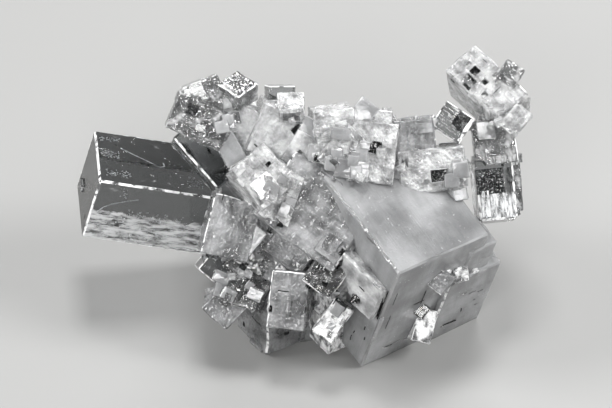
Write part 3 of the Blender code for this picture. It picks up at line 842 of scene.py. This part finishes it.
# %% Beads of salt along the main block's ridge
BEAD_SEED = 3
RIDGE_START = Vector((14.14, -19.22, 23.4))        # the main block's front corner, mm
RIDGE_WAY = Vector((-0.553, 0.772, 0.315))
RIDGE_ACROSS = Vector((0.8, 0.597, -0.058)).normalized()
BEAD_PLACES = (1.1, 2.6, 4.9, 5.3, 8.2, 8.6)        # mm along the ridge
BEAD_SIDE = (0.16, 0.40)
BEAD_SHAPE = (0.7, 1.4)       # its length along the ridge, in its own sides
chance = random.Random(BEAD_SEED)
bead_up = RIDGE_WAY.cross(RIDGE_ACROSS).normalized()
for place in BEAD_PLACES:
    side = chance.uniform(*BEAD_SIDE)
    centre = (RIDGE_START + RIDGE_WAY * place) * MM
    size = (side, side * chance.uniform(*BEAD_SHAPE), side)
    place_block(late, size, centre, RIDGE_ACROSS, bead_up, WHITE_AND_GLINT)
print(len(BEAD_PLACES), "beads")

# %% Etch pits
PIT_SEED = 8
PIT_COUNT = 70
PIT_PLANES = (12.0, 130.0)
PIT_WIDTH = (0.3, 1.1)
PIT_DEPTH = (0.15, 0.5)
OFF_FLOOR = 1.0 * MM          # lower than this nothing is cut
pits = new_collection("etch pits")
chance = random.Random(PIT_SEED)
for point, polygon, across in sample_faces(cluster.data, PIT_COUNT, PIT_PLANES, chance):
    deep = chance.uniform(*PIT_DEPTH)
    size = (chance.uniform(*PIT_WIDTH), chance.uniform(*PIT_WIDTH), 2 * deep)
    if point.z > OFF_FLOOR:
        # Pit walls get the hollow finish, which is painted shade.
        place_block(pits, size, point, across, polygon.normal, HOLLOW_SHADE)

# %% Thin slots, where a crystal has parted along its cleavage
SLOT_SEED = 21
SLOT_COUNT = 60
SLOT_PLANES = (7.0, 500.0)
SLOT_WIDTH = (0.08, 0.20)
SLOT_LENGTH = (0.5, 1.9)
SLOT_DEPTH = (0.3, 0.8)
SLOT_ALONG = 0.5              # the share of slots that run along the longer way of the face
chance = random.Random(SLOT_SEED)
for point, polygon, across in sample_faces(cluster.data, SLOT_COUNT, SLOT_PLANES, chance):
    size = [chance.uniform(*SLOT_WIDTH), chance.uniform(*SLOT_LENGTH)]
    if chance.random() < SLOT_ALONG:
        size.reverse()
    deep = 2 * chance.uniform(*SLOT_DEPTH)
    # Slot walls get the hollow finish, which is painted shade.
    if point.z > OFF_FLOOR and polygon.material_index != CLEAR:
        place_block(pits, (*size, deep), point, across, polygon.normal, HOLLOW_SHADE)

# %% Slits, listed one by one
SLITS = (                     # crystal, face, middle on the face and size in mm
    ("main block", FRONT, (-2.2, -9.13), (6.0, 0.17)),
    ("main block", FRONT, (-7.0, 4.6), (0.13, 3.0)),
    ("main block", FRONT, (-6.5, -1.6), (0.12, 3.4)),
    ("main block", FRONT, (-0.7, 1.3), (0.20, 3.4)),
    ("main block", LEFT, (-10.7, 3.3), (0.22, 7.2)),
    ("main block", LEFT, (-9.2, -4.6), (0.18, 0.9)),
    ("main block", LEFT, (-9.9, -6.4), (0.18, 0.7)),
    ("main block", LEFT, (-7.6, -7.6), (0.16, 0.6)),
    ("side block", FRONT, (-1.4, -4.35), (3.0, 0.17)),
    ("side block", FRONT, (-0.7, 3.0), (1.1, 0.12)),
    ("side block", FRONT, (1.2, 2.3), (1.3, 0.11)),
    ("side block", FRONT, (2.9, 1.7), (1.0, 0.13)),
    ("side block", FRONT, (2.3, -0.3), (0.4, 0.16)),
    ("side block", FRONT, (3.2, -2.0), (0.6, 0.12)),
    ("foot cube", LEFT, (-1.0, -0.6), (2.4, 0.16)),
    ("foot cube", LEFT, (1.2, 1.8), (0.16, 1.8)),
    ("foot front cube", FRONT, (0.6, -1.2), (0.15, 2.2)),
    ("foot front cube", FRONT, (-0.8, 1.4), (1.6, 0.15)),
)
SLIT_DEPTH = 0.5              # mm
# Slit walls get the hollow finish, which is painted shade.
for name, face, place, size in SLITS:
    place_on(pits, HOLLOW_SHADE, name, face, place, size, SLIT_DEPTH, SLIT_DEPTH)
print(len(SLITS), "slits placed by hand")

# %% Grow and cut
def combine(piece, operation, collection):
    """Adds or cuts a whole collection of blocks with one Boolean, and applies it."""
    modifier = piece.modifiers.new(operation, "BOOLEAN")
    modifier.operation = operation
    modifier.solver = "EXACT"
    modifier.operand_type = "COLLECTION"
    modifier.collection = collection
    only(piece)
    bpy.ops.object.modifier_apply(modifier=modifier.name)


def clear_away(collection):
    """Removes a collection with all its blocks."""
    for block in list(collection.objects):
        bpy.data.objects.remove(block)
    bpy.data.collections.remove(collection)


combine(cluster, "UNION", steps)
combine(cluster, "UNION", late)
combine(cluster, "DIFFERENCE", pits)
for collection in (steps, late, pits):
    clear_away(collection)
bpy.data.objects.remove(worn_block)
print(len(cluster.data.polygons), "faces,", odd_edges(cluster.data), "odd edges")

# %% [markdown]
# ## Coordinates that follow the crystals
#
# A pattern in the object's own coordinates would run through all crystals in one direction.
# On halite each crystal has its own. So the mesh gets a UV map, in millimetres, whose U runs
# along the direction that the face's edges voted for. Each plane starts at its own place in
# the pattern, so that no two faces look alike.

# %% Map every face along its own edges
PATTERN_SHIFT = (37.0, 53.0)  # how far apart two planes may start, in mm
PLANE_MIX = (3.1, 7.7, 5.3, 1.9)  # unlike numbers that turn a plane's key into its start


def map_faces(mesh):
    """Gives every corner its place on its plane, in mm along the plane's own directions."""
    direction, _ = measure_faces(mesh)
    grain = mesh.uv_layers.new(name="grain")
    for polygon in mesh.polygons:
        across = direction[polygon.index]
        along = polygon.normal.cross(across)
        start = sum(a * b for a, b in zip(plane_of(polygon), PLANE_MIX))
        for loop in polygon.loop_indices:
            point = mesh.vertices[mesh.loops[loop].vertex_index].co / MM
            grain.data[loop].uv = (
                point.dot(across) + PATTERN_SHIFT[0] * math.sin(start),
                point.dot(along) + PATTERN_SHIFT[1] * math.cos(start),
            )


map_faces(cluster.data)
print("mapped", len(cluster.data.loops), "corners")

# %% [markdown]
# ## Uneven faces
#
# Clear crystals and the large blocks have faces as flat as glass. The other crystals grew in
# a crowd, and damp air has eaten at them, so their faces swell and dip by a tenth of a
# millimetre. That breaks up the reflections into many small ones. Their long edges are split
# until the triangles are small enough, and then every free point is moved by a smooth noise.
# A point that belongs to a flat face stays where it is. Splitting a very thin triangle can
# fold it onto its neighbour, and such folds are removed, so that the surface stays closed.

# %% Split the small crystals' faces
LARGE_FACE = 60.0             # square mm
FACET = 0.9 * MM              # longest edge of an uneven face
SPLIT_ROUNDS = 4


def free_faces(mesh, area):
    """For every polygon, whether it may be split and moved."""
    return [polygon.material_index not in (CLEAR, SAWN) and area[polygon.index] < LARGE_FACE
            for polygon in mesh.polygons]


def mark_faces(mesh, free):
    """Keeps the free faces as an attribute, which splitting hands on to the new faces."""
    attribute = mesh.attributes.new("free", "BOOLEAN", "FACE")
    attribute.data.foreach_set("value", free)


def remove_folds(bm):
    """Removes pairs of faces that share all their points, with nothing between them."""
    bm.verts.index_update()
    twins = {}
    for face in bm.faces:
        twins.setdefault(frozenset(vert.index for vert in face.verts), []).append(face)
    folds = [face for group in twins.values() if len(group) % 2 == 0 for face in group]
    bmesh.ops.delete(bm, geom=folds, context="FACES")


def split_long_edges(piece, longest):
    """Splits each long edge between two free faces, and triangulates what was split."""
    bm = bmesh.new()
    bm.from_mesh(piece.data)
    layer = bm.faces.layers.bool["free"]
    for _ in range(SPLIT_ROUNDS):
        free = [face for face in bm.faces if face[layer]]
        bmesh.ops.triangulate(bm, faces=[face for face in free if len(face.verts) > 3])
        remove_folds(bm)
        long = [edge for edge in bm.edges if edge.calc_length() > longest
                and all(face[layer] for face in edge.link_faces)]
        bmesh.ops.subdivide_edges(bm, edges=long, cuts=1)
    bmesh.ops.triangulate(bm, faces=[face for face in bm.faces if face[layer]])
    remove_folds(bm)
    bm.to_mesh(piece.data)
    bm.free()


_, area = measure_faces(cluster.data)
mark_faces(cluster.data, free_faces(cluster.data, area))
split_long_edges(cluster, FACET)
print(len(cluster.data.polygons), "faces after splitting")

# %% Move the free points
SWELLS = ((2.6, 0.16), (0.8, 0.07))  # wavelength and height in mm
FOOT = 0.3 * MM               # points lower than this stand on the floor and stay
SWELL_SEED = 43
seed_set(SWELL_SEED)          # without a seed, this noise starts elsewhere in every run


def swell(point):
    """How far a point moves, which changes smoothly from place to place."""
    move = Vector()
    for wavelength, height in SWELLS:
        move += noise_vector(point / (wavelength * MM)) * height * MM
    return move


def move_free_points(mesh):
    """Moves the points that only free faces use, and keeps them in the solid's box."""
    fixed = set()
    free = mesh.attributes["free"].data
    for polygon in mesh.polygons:
        if not free[polygon.index].value:
            fixed.update(polygon.vertices)
    moved = 0
    for vertex in mesh.vertices:
        if vertex.index not in fixed and vertex.co.z > FOOT:
            place = vertex.co + swell(vertex.co)
            vertex.co = [min(max(place[i], low[i]), high[i]) for i in range(3)]
            moved += 1
    mesh.attributes.remove(mesh.attributes["free"])
    return moved


print(move_free_points(cluster.data), "points moved,", odd_edges(cluster.data), "odd edges")

# %% [markdown]
# ## Finishes and cloud banks on the faces
#
# Now that no face is made or split any more, each face gets the numbers of its finish. Some
# faces of clear crystals are clouded up to a ragged line, as the brine stood there when the
# last layers grew. Every corner of such a face gets its height above that line, and between
# the corners the renderer fills the height in. All other faces are far above any bank.

# %% Write the finishes on the faces
FAR_ABOVE = 50.0              # mm
BANKS = (                     # crystal, height of the bank's top on its front face, in mm
    ("bar", 0.1), ("tower foot", -0.6), ("tower neck", -2.0),
)
FACES_FRONT = 0.98            # how squarely a face has to look to its crystal's front


def write_finishes(mesh):
    """Writes each part of a face's finish on the face."""
    for part, name in enumerate(FINISH_PARTS):
        rows = [finish[part + 1] for finish in FINISHES]
        rows = [linear(row)[:3] if isinstance(row, str) else row for row in rows]
        attribute = mesh.attributes.new(name, "FLOAT_VECTOR", "FACE")
        for polygon, value in zip(mesh.polygons, attribute.data):
            value.vector = rows[polygon.material_index]


def write_banks(mesh):
    """Writes on each corner how far it is above a bank of cloud, in mm."""
    attribute = mesh.attributes.new("bank", "FLOAT", "CORNER")
    heights = [FAR_ABOVE] * len(mesh.loops)
    for name, level in BANKS:
        _, _, size, middle, turn = NAMED[name]
        into_crystal = turned(turn).transposed()
        for polygon in mesh.polygons:
            in_front = (into_crystal @ polygon.normal).y < -FACES_FRONT
            if in_front and abs(off_surface(polygon.center, size, middle, turn)) < ON_SURFACE:
                for loop in polygon.loop_indices:
                    point = mesh.vertices[mesh.loops[loop].vertex_index].co / MM
                    heights[loop] = (into_crystal @ (point - Vector(middle))).z - level
    attribute.data.foreach_set("value", heights)
    return sum(1 for height in heights if height < FAR_ABOVE)


write_finishes(cluster.data)
print(write_banks(cluster.data), "corners of faces with a cloud bank")
for polygon in cluster.data.polygons:
    polygon.material_index = 0
cluster.data.materials.clear()
cluster.data.materials.append(salt)

# %% [markdown]
# ## Veils of bubbles
#
# Clear salt holds sheets of flat bubbles, left by brine that was caught as the layers grew.
# They lie along the crystal's faces and catch the light as white clouds and bright threads.
# One bubble is modelled: a small sphere, pressed flat. The clouds are copies of it strewn in
# a thin box inside a crystal, and the threads are copies set along a line. Both are stated
# in the crystal's own millimetres from its middle, so they follow its turn.

# %% One flat bubble
BUBBLE_FLATNESS = 0.18        # its thickness, in its own widths
BUBBLE_WIDTH = (0.35, 0.9)    # how narrow its copies are, in their own lengths
bpy.ops.object.select_all(action="DESELECT")
bpy.ops.mesh.primitive_ico_sphere_add(subdivisions=1, radius=0.5, location=(0, 0, 0))
bubble = bpy.context.object
bubble.name = "bubble"
bpy.ops.object.mode_set(mode="EDIT")
bpy.ops.mesh.select_all(action="SELECT")
bpy.ops.transform.resize(value=(1.0, 1.0, BUBBLE_FLATNESS))
bpy.ops.object.mode_set(mode="OBJECT")


def add_bubble(collection, crystal, place, size, thin_axis, chance):
    """A copy of the bubble in a crystal: place and size in mm, flat along one axis."""
    _, _, _, middle, turn = crystal
    axes = [Vector(row) for row in Matrix.Identity(3)]
    normal = axes[thin_axis]
    across = axes[(thin_axis + 1) % 3]
    flat = Matrix((across, normal.cross(across), normal)).transposed().to_4x4()
    spin = Matrix.Rotation(chance.uniform(0, math.pi), 4, "Z")
    stretch = Matrix.Diagonal((size, size * chance.uniform(*BUBBLE_WIDTH), size, 1.0))
    mesh = bubble.data.copy()
    mesh.transform(turned(turn).to_4x4() @ Matrix.Translation(place) @ flat @ spin @ stretch)
    mesh.transform(Matrix.Translation(middle))
    mesh.transform(Matrix.Scale(MM, 4))
    copy = bpy.data.objects.new(collection.name, mesh)
    collection.objects.link(copy)


print("one bubble with", len(bubble.data.polygons), "faces")

# %% Clouds and threads
CLOUDS = (                    # crystal, low and high corner in it, bubbles, sizes, flat axis
    ("bar", (-11.2, -5.8, -2.0), (-5.6, -5.5, -0.7), 25, (0.15, 0.4), 1),
    ("bar", (-5.8, -5.8, -0.8), (3.5, -5.5, 0.8), 60, (0.15, 0.4), 1),
    ("bar", (3.0, -5.8, -2.0), (6.5, -5.5, -0.3), 20, (0.15, 0.4), 1),
    ("bar", (-10.8, 0.4, 4.6), (-7.9, 1.7, 5.4), 80, (0.12, 0.34), 2),
    ("bar", (-10.2, -3.9, 4.6), (-6.4, -2.6, 5.4), 70, (0.12, 0.34), 2),
    ("bar", (-10.9, 4.2, 4.6), (-7.6, 5.0, 5.4), 50, (0.12, 0.34), 2),
    ("bar", (2.4, -4.2, 4.6), (4.8, -1.6, 5.4), 50, (0.12, 0.34), 2),
    ("bar", (-7.9, -5.7, 2.6), (-6.7, -5.3, 4.6), 12, (0.15, 0.4), 1),
    ("tower foot", (-2.7, -3.3, -4.5), (2.7, -2.3, -1.0), 60, (0.2, 0.5), 1),
)
THREADS = (                   # crystal, points in it, bubbles to a mm, size, flat axis
    ("bar", ((-7.6, 2.6, 5.5), (-5.5, 1.4, 5.5), (-3.5, 0.4, 5.5), (-1.8, -0.6, 5.5)), 7, 0.28, 2),
    ("bar", ((-1.8, -0.6, 5.5), (-1.0, -0.2, 5.5), (-1.2, 0.6, 5.5)), 8, 0.30, 2),
    ("bar", ((-10.5, -5.9, -0.4), (-9.7, -5.9, 0.7), (-8.6, -5.9, 1.5),
             (-7.5, -5.9, 2.0), (-6.1, -5.9, 2.6), (-4.7, -5.9, 3.1)), 8, 0.24, 1),
)
THREAD_SIZES = (0.5, 1.2)     # how far the bubbles of a thread differ in size
CLOUD_SEED = 17


def along_line(points, per_mm):
    """Evenly spaced points along a line of straight pieces."""
    for start, end in zip(points, points[1:]):
        start, end = Vector(start), Vector(end)
        count = max(1, round((end - start).length * per_mm))
        for step in range(count):
            yield start.lerp(end, step / count)


bubbles = new_collection("bubbles")
chance = random.Random(CLOUD_SEED)
for name, lowest, highest, count, sizes, thin_axis in CLOUDS:
    for _ in range(count):
        place = [chance.uniform(a, b) for a, b in zip(lowest, highest)]
        add_bubble(bubbles, NAMED[name], place, chance.uniform(*sizes), thin_axis, chance)
for name, points, per_mm, size, thin_axis in THREADS:
    for place in along_line(points, per_mm):
        size_here = size * chance.uniform(*THREAD_SIZES)
        add_bubble(bubbles, NAMED[name], place, size_here, thin_axis, chance)

# %% Join the bubbles and give them their finish
bpy.ops.object.select_all(action="DESELECT")
for copy in bubbles.objects:
    copy.select_set(True)
veils = bubbles.objects[0]
bpy.context.view_layer.objects.active = veils
bpy.ops.object.join()
veils.name = "brine_bubbles"
bpy.data.objects.remove(bubble)

# Brine and vapour have eaten at the wall of a bubble, so it is white, and dull in places.
MOTTLE = 1.5                  # patches to a mm
WALL_COLOURS = ("#dfe4ea", "#ffffff")
WALL_DULL = (0.15, 0.5)
wall = bpy.data.materials.new("bubble wall")
wall.use_nodes = True
tree = wall.node_tree
shader = tree.nodes["Principled BSDF"]
shader.inputs["IOR"].default_value = IOR_HALITE
place = add_node(tree, "ShaderNodeTexCoord").outputs["Object"]
mottle = add_node(tree, "ShaderNodeTexNoise", inputs={
    "Vector": place, "Scale": MOTTLE / MM, "Detail": 2.0}).outputs["Fac"]
colour = add_node(tree, "ShaderNodeMix", {"data_type": "RGBA"},
                  {0: mottle, 6: linear(WALL_COLOURS[0]), 7: linear(WALL_COLOURS[1])})
tree.links.new(colour.outputs[2], shader.inputs["Base Color"])
dull = add_node(tree, "ShaderNodeMapRange", inputs={
    "Value": mottle, "From Min": 0.3, "From Max": 0.7,
    "To Min": WALL_DULL[0], "To Max": WALL_DULL[1]})
tree.links.new(dull.outputs["Result"], shader.inputs["Roughness"])
veils.data.materials.append(wall)
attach(veils, "root")
print(len(veils.data.polygons), "faces of bubbles")

# %% [markdown]
# ## Finish
#
# The dressed cluster has to stay inside the plain solid's box. The dressed cluster gets
# its name.

# %% Name the cluster
cluster.name = "halite_crystals"
